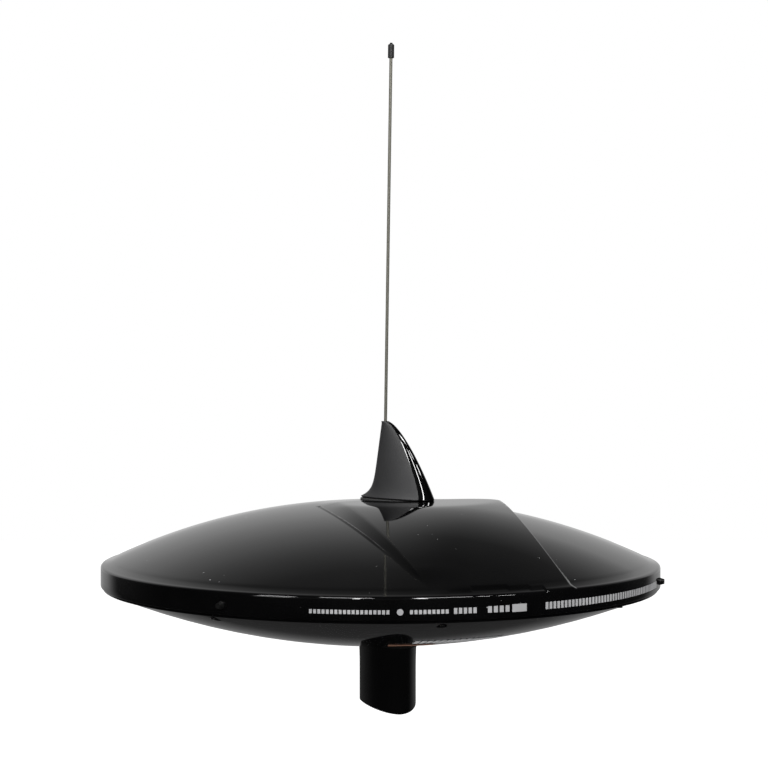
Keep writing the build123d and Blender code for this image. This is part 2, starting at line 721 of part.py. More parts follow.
HULL_NODES = {
    "top_shell": top_shell,
    "bottom_shell": bottom_shell,
    "rim_gasket": rim_gasket,
    "rim_plugs": rim_plugs,
    "rim_screws": rim_screws,
    "fin_cover": fin_cover,
    "fin_gasket": fin_gasket,
    "fin_screws": fin_screws,
    "whip_insert": whip_insert,
    "whip_seal": whip_seal,
    "whip_stud": whip_stud,
    "whip_rod": whip_rod,
    "whip_tip_cap": whip_tip_cap,
    "whip_lead": whip_lead,
    "ground_plate": ground_plate,
    "plate_screws": plate_screws,
    "board_standoffs": standoffs,
    "amplifier_board": amplifier_board,
    "board_screws": board_screws,
    "shield_can": shield_can,
    "balun_core": balun_core,
    "element_spider": element_spider,
    "arm_screws": arm_screws,
    "feed_pins": feed_pins,
    "coax_pigtail": coax_pigtail,
    "vent_plug": vent_plug,
}

STEM_NODES = {
    "mast_stem": mast_stem,
    "mast_insert": mast_insert,
    "stem_gasket": stem_gasket,
    "stem_screws": stem_screws,
    "f_connector": f_connector,
    "f_connector_core": f_connector_core,
    "f_connector_nut": f_connector_nut,
    "f_connector_washer": f_connector_washer,
}

DIPOLE_ARMS = {
    "dipole_arm_front": 0.0,
    "dipole_arm_right": 90.0,
    "dipole_arm_back": 180.0,
    "dipole_arm_left": 270.0,
}


def gathered(result):
    """One shape for a node: a single solid, or a compound of several."""
    if isinstance(result, list):
        return Compound(children=[Compound(list(item.solids())) for item in result])
    return result


def write(name, shape):
    """Writes one node's STEP file."""
    export_step(Compound(list(shape.solids())), "parts/" + name + ".step")


os.makedirs("parts", exist_ok=True)
for node, make in HULL_NODES.items():
    write(node, to_row(gathered(make())))
for node, make in STEM_NODES.items():
    write(node, gathered(make()))
for node, angle in DIPOLE_ARMS.items():
    write(node, to_row(dipole_arm(angle)))
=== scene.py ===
"""Looks of the disc-shaped omnidirectional antenna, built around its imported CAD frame.

Metres, +Z up. The origin is the mast socket's mouth. Shapes that belong to the
hull are worked out about the disc's axis in millimetres, with z = 0 on the rim
seam, and hull_point() turns them into the frame's metres.
"""
import json
from math import atan2, ceil, cos, degrees, exp, hypot, pi, radians, sin, tan

import bpy
import numpy as np
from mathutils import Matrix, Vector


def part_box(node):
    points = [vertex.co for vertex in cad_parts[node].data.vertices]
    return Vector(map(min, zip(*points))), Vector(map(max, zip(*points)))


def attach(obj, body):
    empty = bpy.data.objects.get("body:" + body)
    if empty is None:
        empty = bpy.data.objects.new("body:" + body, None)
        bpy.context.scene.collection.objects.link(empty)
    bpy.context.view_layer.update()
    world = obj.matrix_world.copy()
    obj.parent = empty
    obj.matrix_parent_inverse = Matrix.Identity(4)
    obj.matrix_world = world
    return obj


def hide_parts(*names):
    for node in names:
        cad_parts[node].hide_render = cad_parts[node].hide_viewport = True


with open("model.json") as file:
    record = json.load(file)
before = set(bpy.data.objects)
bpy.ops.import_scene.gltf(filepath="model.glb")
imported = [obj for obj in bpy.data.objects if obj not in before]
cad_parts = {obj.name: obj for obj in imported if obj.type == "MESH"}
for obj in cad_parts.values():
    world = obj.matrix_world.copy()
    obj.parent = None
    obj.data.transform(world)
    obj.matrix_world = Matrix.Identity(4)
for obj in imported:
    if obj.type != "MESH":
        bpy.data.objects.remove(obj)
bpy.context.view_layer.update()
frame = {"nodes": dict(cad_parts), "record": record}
nodes = frame["nodes"]

MM = 0.001
HULL = "hull"
TOP_LOW, TOP_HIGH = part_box("top_shell")
DISC_RADIUS = (TOP_HIGH[0] - TOP_LOW[0]) / 2 / MM
HULL_X = (TOP_HIGH[0] + TOP_LOW[0]) / 2
HULL_Y = (TOP_HIGH[1] + TOP_LOW[1]) / 2
GASKET_HALF = 0.25
SEAM_Z = TOP_LOW[2] - GASKET_HALF * MM

# ---------------------------------------------------------------- hull shape, mm
DOME_EDGE = 171.5
CROWN_HEIGHT = 50.5
CROWN_FALL = 4.45e-4
CROWN_POWER = 2.2
PLATEAU_HEIGHT = 51.2
CREASE_SOFTNESS = 0.35
HOOD_LIFT = 5.04
HOOD_LIFT_POWER = 2.5
HOOD_LIFT_REACH = 184.0
HOOD_CENTRE = (22.0, 8.5)
WALL = 2.5
FLANGE_INNER = 156.0
FLANGE_THICKNESS = 3.0
KEEL_DEPTH = 36.0

# Hood outline in plan, -Y to the front: control points of its curved edges.
HOOD_LEFT = ((-37.0, -28.0), (-19.5, -96.0), (25.0, -170.0))
HOOD_RIGHT = ((80.5, 0.0), (83.0, -75.0), (106.0, -141.0))
HOOD_BACK = ((80.5, 0.0), (72.0, 62.0), (-62.0, 56.0), (-37.0, -28.0))
LEFT_WALL = (12.0, 2.0)
RIGHT_WALL = (3.2, 2.0)
BACK_WALL = 38.0
BEAD_HEIGHT = 0.7
BEAD_HALF_WIDTH = 1.2

# ---------------------------------------------------------------- fin shape, mm
FIN_HEADING = 58.0
FIN_FOOT = 51.6
FIN_TILT = 0.6
FIN_TIP = 101.0
WHIP_BASE = (3.6, 6.4)
WHIP_LEAN = 0.86
FIN_POINTS = 96
STRIP_POINTS = 11
STRIP_RISE = 0.22

# ---------------------------------------------------------------- stem shape, mm from the socket's mouth
STEM_RADIUS = 17.8
STEM_REACH = 48.9
STEM_HEADING = 8.6
STEM_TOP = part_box("mast_stem")[1][2] / MM
SLEEVE_RADIUS = 15.0
SLEEVE_LENGTH = 25.0
CHAMBER_RADIUS = 8.5


def hull_point(x, y, z):
    """A point in hull millimetres as a point of the frame in metres."""
    return HULL_X + x * MM, HULL_Y + y * MM, SEAM_Z + z * MM


def polar(radius, angle):
    """Plan point at an angle counted from -Y towards +X."""
    return radius * sin(radians(angle)), -radius * cos(radians(angle))


def smoothstep(value):
    """Eases 0 to 1 with level ends."""
    value = np.clip(value, 0.0, 1.0)
    return value * value * (3.0 - 2.0 * value)


# ---------------------------------------------------------------- mesh helpers
def new_mesh(name, points, faces, material, body=HULL, smooth=True):
    """A mesh piece from points in metres, riding on a body."""
    mesh = bpy.data.meshes.new(name)
    mesh.from_pydata([tuple(p) for p in points], [], faces)
    mesh.validate()
    mesh.update()
    piece = bpy.data.objects.new(name, mesh)
    bpy.context.scene.collection.objects.link(piece)
    materials = material if isinstance(material, (list, tuple)) else [material]
    for entry in materials:
        mesh.materials.append(entry)
    if smooth:
        mesh.shade_smooth()
    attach(piece, body)
    return piece


def ring_faces(rings, columns, first=0):
    """Quads between successive closed rings of points."""
    faces = []
    for i in range(rings - 1):
        low = first + i * columns
        high = low + columns
        for j in range(columns):
            k = (j + 1) % columns
            faces.append((low + j, low + k, high + k, high + j))
    return faces


def sharpen(piece, angle):
    """Splits the shading at edges sharper than an angle in degrees."""
    piece.data.set_sharp_from_angle(angle=radians(angle))


# ---------------------------------------------------------------- materials
class Nodes:
    """Short calls for building a material's node tree."""

    def __init__(self, name):
        self.material = bpy.data.materials.new(name)
        self.material.use_nodes = True
        self.tree = self.material.node_tree
        self.shader = self.tree.nodes["Principled BSDF"]
        self.coords = self.tree.nodes.new("ShaderNodeTexCoord").outputs["Object"]

    def set(self, **values):
        """Sets shader sockets by name, with spaces written as underscores."""
        for key, value in values.items():
            self.shader.inputs[key.replace("_", " ")].default_value = value

    def noise(self, scale, detail=3.0, roughness=0.5, stretch=None):
        """A noise texture's value, optionally stretched along the axes."""
        node = self.tree.nodes.new("ShaderNodeTexNoise")
        node.inputs["Scale"].default_value = scale
        node.inputs["Detail"].default_value = detail
        node.inputs["Roughness"].default_value = roughness
        source = self.coords
        if stretch:
            mapping = self.tree.nodes.new("ShaderNodeMapping")
            mapping.inputs["Scale"].default_value = stretch
            self.tree.links.new(self.coords, mapping.inputs["Vector"])
            source = mapping.outputs["Vector"]
        self.tree.links.new(source, node.inputs["Vector"])
        return node.outputs["Fac"]

    def specks(self, scale, size):
        """1 inside rare small dots and 0 elsewhere."""
        node = self.tree.nodes.new("ShaderNodeTexVoronoi")
        node.inputs["Scale"].default_value = scale
        node.inputs["Randomness"].default_value = 1.0
        self.tree.links.new(self.coords, node.inputs["Vector"])
        return self.ramp(node.outputs["Distance"], size, size * 1.6, 1.0, 0.0)

    def ramp(self, value, low, high, out_low, out_high):
        """Maps a value from one range to another, clamped."""
        node = self.tree.nodes.new("ShaderNodeMapRange")
        node.inputs["From Min"].default_value = low
        node.inputs["From Max"].default_value = high
        node.inputs["To Min"].default_value = out_low
        node.inputs["To Max"].default_value = out_high
        self.tree.links.new(value, node.inputs["Value"])
        return node.outputs["Result"]

    def times(self, first, second):
        """Product of two values."""
        node = self.tree.nodes.new("ShaderNodeMath")
        node.operation = "MULTIPLY"
        self.tree.links.new(first, node.inputs[0])
        self.tree.links.new(second, node.inputs[1])
        return node.outputs["Value"]

    def colour(self, value, low, high):
        """Blends the base colour between two colours by a value."""
        node = self.tree.nodes.new("ShaderNodeMix")
        node.data_type = "RGBA"
        self.tree.links.new(value, node.inputs["Factor"])
        node.inputs["A"].default_value = (*low, 1.0)
        node.inputs["B"].default_value = (*high, 1.0)
        self.tree.links.new(node.outputs["Result"], self.shader.inputs["Base Color"])
        return node.outputs["Result"]

    def roughness(self, value):
        """Drives the shader's roughness."""
        self.tree.links.new(value, self.shader.inputs["Roughness"])

    def bump(self, value, strength, distance):
        """Adds bump from a height value."""
        node = self.tree.nodes.new("ShaderNodeBump")
        node.inputs["Strength"].default_value = strength
        node.inputs["Distance"].default_value = distance
        self.tree.links.new(value, node.inputs["Height"])
        self.tree.links.new(node.outputs["Normal"], self.shader.inputs["Normal"])


def moulded_plastic(name, low, high, rough_low, rough_high, grain, bump, dust=False, shine=0.5):
    """Moulded plastic: slight colour drift, uneven gloss, fine grain and optional dust."""
    n = Nodes(name)
    n.set(Specular_IOR_Level=shine)
    drift = n.noise(35.0, 4.0)
    colour = n.colour(n.ramp(drift, 0.3, 0.7, 0.0, 1.0), low, high)
    gloss = n.ramp(n.noise(90.0, 5.0, 0.6), 0.3, 0.7, rough_low, rough_high)
    n.roughness(gloss)
    if dust:
        dots = n.times(n.specks(170.0, 0.035), n.ramp(n.noise(22.0, 2.0), 0.58, 0.62, 0.0, 1.0))
        mix = n.tree.nodes.new("ShaderNodeMix")
        mix.data_type = "RGBA"
        n.tree.links.new(dots, mix.inputs["Factor"])
        n.tree.links.new(colour, mix.inputs["A"])
        mix.inputs["B"].default_value = (0.5, 0.5, 0.5, 1.0)
        n.tree.links.new(mix.outputs["Result"], n.shader.inputs["Base Color"])
    n.bump(n.noise(grain, 2.0), bump, 0.0002)
    return n.material


def metal(name, low, high, rough_low, rough_high, stretch=(1.0, 1.0, 1.0), scale=400.0, bump=0.15, shine=1.0):
    """Metal with brushed or drawn lines along the axis that stretch leaves long."""
    n = Nodes(name)
    n.set(Metallic=shine)
    lines = n.noise(scale, 4.0, 0.6, stretch)
    n.colour(n.ramp(lines, 0.25, 0.75, 0.0, 1.0), low, high)
    n.roughness(n.ramp(lines, 0.25, 0.75, rough_low, rough_high))
    n.bump(lines, bump, 0.00005)
    return n.material


BLACK = (0.0012, 0.0012, 0.0013)
BLACK_LIGHT = (0.002, 0.002, 0.0021)
gloss_black = moulded_plastic("gloss_black", BLACK, BLACK_LIGHT, 0.035, 0.06, 160.0, 0.006, dust=True)
STEM_BLACK = (0.0018, 0.0018, 0.0019)
STEM_BLACK_LIGHT = (0.0026, 0.0026, 0.0026)
RUBBER = (0.003, 0.003, 0.003)
RUBBER_LIGHT = (0.005, 0.005, 0.005)
COPPER = (0.13, 0.06, 0.035)
COPPER_LIGHT = (0.18, 0.085, 0.05)
WHIP_GREY = (0.17, 0.165, 0.14)
WHIP_GREY_LIGHT = (0.2, 0.195, 0.165)
LENGTHWISE = (1.0, 1.0, 0.01)
stem_black = moulded_plastic("stem_black", STEM_BLACK, STEM_BLACK_LIGHT, 0.2, 0.28, 300.0, 0.015, shine=0.008)
fin_satin = moulded_plastic("fin_satin", (0.02, 0.02, 0.021), (0.026, 0.026, 0.027), 0.5, 0.6, 900.0, 0.12)
strip_black = moulded_plastic("strip_black", BLACK, BLACK_LIGHT, 0.03, 0.05, 160.0, 0.005)
cap_black = moulded_plastic("cap_black", (0.01, 0.01, 0.01), (0.016, 0.016, 0.016), 0.3, 0.42, 1500.0, 0.1)
pad_grey = moulded_plastic("pad_grey", (0.035, 0.035, 0.035), (0.05, 0.05, 0.05), 0.45, 0.6, 1200.0, 0.15)
rubber = moulded_plastic("rubber_black", RUBBER, RUBBER_LIGHT, 0.3, 0.45, 1200.0, 0.1, shine=0.15)
print_grey = moulded_plastic("print_grey", (0.22, 0.22, 0.225), (0.3, 0.3, 0.305), 0.4, 0.55, 2500.0, 0.1)
print_copper = moulded_plastic("print_copper", COPPER, COPPER_LIGHT, 0.35, 0.5, 2500.0, 0.1)
nylon = moulded_plastic("white_nylon", (0.7, 0.7, 0.68), (0.8, 0.8, 0.78), 0.35, 0.5, 800.0, 0.1)
board_green = moulded_plastic("board_green", (0.012, 0.1, 0.04), (0.02, 0.16, 0.06), 0.25, 0.4, 900.0, 0.15)
ferrite = moulded_plastic("ferrite", (0.06, 0.06, 0.065), (0.1, 0.1, 0.11), 0.5, 0.7, 1800.0, 0.3)
wire_red = moulded_plastic("wire_red", (0.35, 0.02, 0.015), (0.45, 0.03, 0.02), 0.3, 0.4, 1500.0, 0.1)
coax_black = moulded_plastic("coax_black", (0.02, 0.02, 0.02), (0.03, 0.03, 0.03), 0.4, 0.5, 1500.0, 0.1)
whip_steel = metal("whip_steel", WHIP_GREY, WHIP_GREY_LIGHT, 0.4, 0.48, LENGTHWISE, 500.0, 0.03, 0.6)
stainless = metal("stainless", (0.5, 0.5, 0.5), (0.62, 0.62, 0.62), 0.22, 0.35, (1.0, 1.0, 0.1))
brass = metal("brass", (0.6, 0.42, 0.16), (0.72, 0.52, 0.22), 0.2, 0.35, (1.0, 1.0, 0.1))
aluminium = metal("aluminium", (0.7, 0.7, 0.71), (0.8, 0.8, 0.81), 0.3, 0.45, (0.05, 1.0, 1.0))
tinned = metal("tinned_steel", (0.6, 0.6, 0.6), (0.7, 0.7, 0.7), 0.15, 0.25)
nickel = metal("nickel", (0.6, 0.58, 0.54), (0.7, 0.68, 0.64), 0.15, 0.28)

FINISHES = {
    "gloss_black": gloss_black,
    "rubber_black": rubber,
    "stainless": stainless,
    "whip_steel": whip_steel,
    "cap_black": cap_black,
    "brass": brass,
    "wire_red": wire_red,
    "aluminium": aluminium,
    "board_green": board_green,
    "tinned_steel": tinned,
    "ferrite": ferrite,
    "white_nylon": nylon,
    "coax_black": coax_black,
    "nickel": nickel,
}


def finish_nodes():
    """Gives every carried-over CAD node its material."""
    slots = {entry["node"]: entry["material_slot"] for entry in frame["record"]["subparts"]}
    for name, node in nodes.items():
        material = stem_black if name == "mast_stem" else FINISHES[slots[name]]
        node.data.materials.clear()
        node.data.materials.append(material)


# ---------------------------------------------------------------- hull surface
def bezier(points, count):
    """Samples of a Bezier curve through its end control points."""
    t = np.linspace(0.0, 1.0, count)
    layers = [np.outer(1 - t, 0 * np.array(p)) + np.array(p) for p in points]
    while len(layers) > 1:
        layers = [a * (1 - t)[:, None] + b * t[:, None] for a, b in zip(layers, layers[1:])]
    return layers[0]


LEFT_EDGE = bezier(HOOD_LEFT, 160)
RIGHT_EDGE = bezier(HOOD_RIGHT, 160)
BACK_EDGE = bezier(HOOD_BACK, 90)


def crown(radius):
    """Height of the plain dome."""
    return CROWN_HEIGHT - CROWN_FALL * radius ** CROWN_POWER


def hood_outline():
    """The hood's closed outline as points, wall widths and kinds of wall."""
    t = np.linspace(0.0, 1.0, len(LEFT_EDGE))
    left = LEFT_WALL[0] + (LEFT_WALL[1] - LEFT_WALL[0]) * t ** 1.1
    right = RIGHT_WALL[0] + (RIGHT_WALL[1] - RIGHT_WALL[0]) * t
    back = np.linspace(0.0, 1.0, len(BACK_EDGE))
    ends = smoothstep(np.minimum(back / 0.35, (1.0 - back) / 0.2))
    start = RIGHT_WALL[0] * (1 - back) + LEFT_WALL[0] * back
    walls = np.concatenate([left, right[::-1], start + (BACK_WALL - start) * ends])
    points = np.concatenate([LEFT_EDGE, RIGHT_EDGE[::-1], BACK_EDGE])
    softness = np.concatenate([0 * t, 0 * t, ends])
    steepness = np.concatenate([0 * t, 1 + 0 * t, 1 - back])
    bead = np.concatenate([1 - smoothstep((t - 0.5) / 0.3), 0 * t, smoothstep((back - 0.94) / 0.06)])
    return points, walls, softness, steepness, bead


OUTLINE, OUTLINE_WALL, OUTLINE_SOFT, OUTLINE_STEEP, OUTLINE_BEAD = hood_outline()


def inside_outline(x, y):
    """True where a plan point lies inside the hood's outline."""
    inside = np.zeros(x.shape, bool)
    ahead = np.roll(OUTLINE, -1, axis=0)
    for (ax, ay), (bx, by) in zip(OUTLINE, ahead):
        if ay == by:
            continue
        crosses = (ay > y) != (by > y)
        inside ^= crosses & (x < (bx - ax) * (y - ay) / (by - ay) + ax)
    return inside


def hood_share(x, y):
    """0 on the plain dome to 1 on the hood's top, and the height of the bead at its foot."""
    distance = np.hypot(OUTLINE[:, 0][:, None] - x, OUTLINE[:, 1][:, None] - y)
    nearest = np.argmin(distance, axis=0)
    away = np.take_along_axis(distance, nearest[None], 0)[0]
    inside = inside_outline(x, y)
    t = away / OUTLINE_WALL[nearest]
    soft = OUTLINE_SOFT[nearest]
    steep = OUTLINE_STEEP[nearest]
    rounding = 0.28
    ramp = np.where(t < 1 - rounding, t, t - (t - 1 + rounding) ** 2 / (4 * rounding))
    ramp = np.where(t > 1 + rounding, 1.0, ramp)
    filleted = ramp * (0.55 + 0.45 * np.clip(t, 0.0, 1.0))
    crisp = ramp * steep + filleted * (1.0 - steep)
    share = crisp * (1.0 - soft) + smoothstep(t) * soft
    wave = np.clip(away / BEAD_HALF_WIDTH, 0.0, 1.0)
    bead = BEAD_HEIGHT * OUTLINE_BEAD[nearest] * np.cos(pi / 2 * wave) ** 2
    return np.where(inside, share, 0.0), bead


def hood_lift(x, y):
    """Height of the hood's slope above the plain dome."""
    radius = np.hypot(x, y)
    shift = 1.0 - radius / DISC_RADIUS
    reach = np.hypot(x - HOOD_CENTRE[0] * shift, y - HOOD_CENTRE[1] * shift)
    lift = crown(reach) + HOOD_LIFT * (1.0 - (reach / HOOD_LIFT_REACH) ** HOOD_LIFT_POWER) - crown(radius)
    angle = np.degrees(np.arctan2(x, -y))
    start = edge_angle(LEFT_EDGE, DOME_EDGE)
    onset = smoothstep((angle - start) / 9.0)
    near_rim = smoothstep((radius - 148.0) / 20.0)
    return lift * (1.0 - near_rim * (1.0 - onset))


def hull_height(x, y):
    """Height of the upper shell's outer surface above the seam at plan points."""
    radius = np.hypot(x, y)
    base = crown(radius)
    lift = hood_lift(x, y)
    room = PLATEAU_HEIGHT - base
    lift = 0.5 * (lift + room - np.sqrt((lift - room) ** 2 + CREASE_SOFTNESS))
    share, bead = hood_share(x, y)
    dip = -0.16 * np.exp(-(((radius - 168.6) / 1.3) ** 2))
    return base + np.maximum(lift, 0.0) * share + bead + dip


def edge_angle(edge, radius):
    """Angle at which a hood edge crosses a radius."""
    radii = np.hypot(edge[:, 0], edge[:, 1])
    angles = np.degrees(np.arctan2(edge[:, 0], -edge[:, 1]))
    start = int(np.argmin(radii))
    return float(np.interp(radius, radii[start:], angles[start:]))


def eased(count, power):
    """Shares from 0 to 1, packed towards both ends."""
    t = np.linspace(0.0, 1.0, count, endpoint=False)
    return t - power * np.sin(2 * pi * t) / (2 * pi)


HOOD_COLUMNS = 190
PLAIN_COLUMNS = 260
DOME_RINGS = 128


def column_angles(radius):
    """Angles of the mesh's columns at a radius, so that two of them follow the hood's edges."""
    left = edge_angle(LEFT_EDGE, radius)
    right = edge_angle(RIGHT_EDGE, radius)
    hood = left + (right - left) * eased(HOOD_COLUMNS, 0.8)
    plain = right + (left + 360.0 - right) * eased(PLAIN_COLUMNS, 0.85)
    return np.concatenate([hood, plain])


def shoulder_rings(angles, steps=9):
    """Rings from the dome's edge over the rim's rounding to the top of the band."""
    x = DOME_EDGE * np.sin(angles)
    y = -DOME_EDGE * np.cos(angles)
    extra = hull_height(x, y) - crown(DOME_EDGE)
    start = (173.0, 13.4)
    corner = (174.95, 12.95)
    end = (DISC_RADIUS, 11.6)
    rings = []
    for i in range(steps + 1):
        t = i / steps
        weights = ((1 - t) ** 2, 2 * t * (1 - t), t ** 2)
        radius = sum(w * p[0] for w, p in zip(weights, (start, corner, end)))
        height = sum(w * p[1] for w, p in zip(weights, (start, corner, end)))
        rings.append((radius * np.sin(angles), -radius * np.cos(angles), height + extra * (1 - 0.5 * t)))
    return rings


def build_top_shell():
    """Upper shell: dome with its hood, shoulder, rim band, inner flange and inside."""
    rings = []
    for i in range(1, DOME_RINGS + 1):
        radius = DOME_EDGE * i / DOME_RINGS
        angles = np.radians(column_angles(radius))
        x = radius * np.sin(angles)
        y = -radius * np.cos(angles)
        rings.append((x, y, hull_height(x, y)))
    rings += shoulder_rings(angles)
    section = [(DISC_RADIUS, 8.0), (DISC_RADIUS, 4.5), (DISC_RADIUS, 0.8), (DISC_RADIUS - 0.12, 0.5)]
    section += [(DISC_RADIUS - 0.5, GASKET_HALF), (FLANGE_INNER, GASKET_HALF)]
    section += [(FLANGE_INNER, FLANGE_THICKNESS)]
    section += [(DISC_RADIUS - WALL, FLANGE_THICKNESS), (DISC_RADIUS - WALL, 9.5)]
    inside_radii = (168.0, 150.0, 125.0, 100.0, 70.0, 40.0, 15.0)
    section += [(radius, crown(radius) - WALL - 0.1) for radius in inside_radii]
    for radius, height in section:
        rings.append((radius * np.sin(angles), -radius * np.cos(angles), np.full(angles.shape, height)))
    columns = len(angles)
    points = [hull_point(x, y, z) for ring in rings for x, y, z in zip(*ring)]
    faces = ring_faces(len(rings), columns)
    top = len(points)
    centre = float(hull_height(np.array([0.0]), np.array([0.0]))[0])
    points += [hull_point(0.0, 0.0, centre), hull_point(0.0, 0.0, CROWN_HEIGHT - WALL - 0.1)]
    end = (len(rings) - 1) * columns
    for j in range(columns):
        k = (j + 1) % columns
        faces.append((j, top, k))
        faces.append((end + k, top + 1, end + j))
    faces = [face[::-1] for face in faces]
    shell = new_mesh("upper_shell", points, faces, gloss_black)
    sharpen(shell, 42.0)
    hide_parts("top_shell")
    return shell


# ---------------------------------------------------------------- fin
def fin_edges(share):
    """Trailing and leading edges, across the front view, at a share of the fin's height."""
    trailing = -5.0 + 6.3 * share - 7.0 * exp(-share / 0.08)
    leading = 5.1 + 28.9 * (1.0 - share) ** 0.68
    return trailing, leading


def fin_width(share):
    """Half width of the fin at its thickest, at a share of its height."""
    return 2.0 + 8.0 * (1.0 - share) ** 1.1 + 1.5 * exp(-share / 0.06)


def fin_outline(share, grow=0.0):
    """Elliptical plan outline of the fin at one level, with its strip standing slightly proud."""
    heading = radians(FIN_HEADING)
    trailing, leading = fin_edges(share)
    width = fin_width(share)
    half = (leading - trailing) / 2
    chord = max(half ** 2 - (width * cos(heading)) ** 2, 4.0) ** 0.5 / sin(heading)
    x = (leading + trailing) / 2
    y = WHIP_BASE[1] - (x - WHIP_BASE[0]) / sin(heading) * cos(heading)
    outline = []
    for i, rise in fin_columns():
        turn = 2 * pi * i / FIN_POINTS
        along = cos(turn) * (chord + grow + rise)
        across = sin(turn) * (width + grow + rise)
        px = x + along * sin(heading) + across * cos(heading)
        py = y - along * cos(heading) + across * sin(heading)
        outline.append((px, py))
    return outline


def fin_columns():
    """Column numbers round the fin with the strip's rise; the strip's two edges come twice."""
    columns = []
    for i in range(FIN_POINTS):
        turn = min(i, FIN_POINTS - i)
        if turn < STRIP_POINTS:
            columns.append((i, STRIP_RISE))
        elif turn > STRIP_POINTS:
            columns.append((i, 0.0))
        elif i == STRIP_POINTS:
            columns += [(i, STRIP_RISE), (i + 0.02, 0.0)]
        else:
            columns += [(i - 0.02, 0.0), (i, STRIP_RISE)]
    return columns


def whip_axis(height):
    """Plan point of the leaning whip's axis at a height."""
    return WHIP_BASE[0] + (height - FIN_TIP) * tan(radians(WHIP_LEAN)), WHIP_BASE[1]


def fin_level(share, z):
    """Height of the fin's point on a level: the foot is tilted, higher at the tail."""
    return lambda x: z - FIN_TILT * (x - 11.0) / 23.0 * (1.0 - share) ** 6


def build_fin():
    """Fin cover with a glossy leading strip and the whip's channel."""
    shares = [(i / 52) ** 1.35 for i in range(53)]
    rings = []
    for grow, drop in ((-1.3, 0.0), (-0.6, 0.12), (-0.2, 0.4)):
        level = fin_level(0.0, FIN_FOOT + drop)
        rings.append([(x, y, level(x)) for x, y in fin_outline(0.0, grow)])
    for share in shares:
        level = fin_level(share, FIN_FOOT + 0.9 + (FIN_TIP - FIN_FOOT - 0.9) * share)
        rings.append([(x, y, level(x)) for x, y in fin_outline(share)])
    outer = len(rings)
    columns = len(rings[0])
    channel = [(1.3, FIN_TIP), (1.3, 78.6), (2.6, 78.5), (2.6, 72.1), (1.27, 72.0), (1.27, 61.5)]
    top_x, top_y = whip_axis(FIN_TIP)
    for radius, z in channel:
        cx, cy = whip_axis(z)
        ring = []
        for x, y, _ in rings[outer - 1]:
            angle = atan2(y - top_y, x - top_x)
            ring.append((cx + radius * cos(angle), cy + radius * sin(angle), z))
        rings.append(ring)
    points = [hull_point(*p) for ring in rings for p in ring]
    faces = ring_faces(len(rings), columns)
    end = (len(rings) - 1) * columns
    cx, cy = whip_axis(61.5)
    points.append(hull_point(cx, cy, 61.5))
    bottom = len(points) - 1
    for j in range(columns):
        faces.append((end + j, end + (j + 1) % columns, bottom))
    faces.append(tuple(reversed(range(columns))))
    fin = new_mesh("fin_cover_shell", points, faces, [fin_satin, strip_black])
    rises = [rise for _, rise in fin_columns()]
    for index, polygon in enumerate(fin.data.polygons):
        j = index % columns
        if index < (outer - 1) * columns and rises[j] and rises[(j + 1) % columns]:
            polygon.material_index = 1
    sharpen(fin, 35.0)
    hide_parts("fin_cover")
    return fin


def build_fin_pad():
    """Rubber pad between the fin's foot and the hull."""
    outline = fin_outline(0.0, 0.5)
    xs = np.array([p[0] for p in outline])
    ys = np.array([p[1] for p in outline])
    low = hull_height(xs, ys) - 0.15
    under = fin_level(0.0, FIN_FOOT - 0.25)
    above = fin_level(0.0, FIN_FOOT + 0.01)
    rings = [[(x, y, z) for (x, y), z in zip(fin_outline(0.0, -1.5), low)]]
    rings.append([(x, y, z) for (x, y), z in zip(outline, low)])
    rings.append([(x, y, under(x) - 0.4) for x, y in outline])
    rings.append([(x, y, under(x) - 0.1) for x, y in fin_outline(0.0, 0.3)])
    rings.append([(x, y, under(x)) for x, y in fin_outline(0.0, -0.5)])
    rings.append([(x, y, under(x)) for x, y in fin_outline(0.0, -1.6)])
    rings.append([(x, y, above(x)) for x, y in fin_outline(0.0, -1.7)])
    points = [hull_point(*p) for ring in rings for p in ring]
    columns = len(outline)
    faces = ring_faces(len(rings), columns)
    faces.append(tuple(reversed(range(columns))))
    end = (len(rings) - 1) * columns
    faces.append(tuple(range(end, end + columns)))
    pad = new_mesh("fin_pad", points, faces, pad_grey)
    sharpen(pad, 40.0)
    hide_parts("fin_gasket")
    return pad


# ---------------------------------------------------------------- stem
def stem_outline(grow):
    """Teardrop plan of the stem as points, from one flank round the nose and the back."""
    count = 120
    outline = []
    for i in range(count):
        turn = 2 * pi * i / count
        side, ahead = sin(turn), cos(turn)
        if ahead > 0:
            share = ahead
            x = (STEM_RADIUS + grow) * (1.0 - share ** 1.55) ** 0.55 * (1 if side > 0 else -1)
            y = -(STEM_REACH + grow) * share
        else:
            x = (STEM_RADIUS + grow) * side
            y = -(STEM_RADIUS + grow) * ahead
        heading = radians(STEM_HEADING)
        outline.append((x * cos(heading) - y * sin(heading), x * sin(heading) + y * cos(heading)))
    return outline


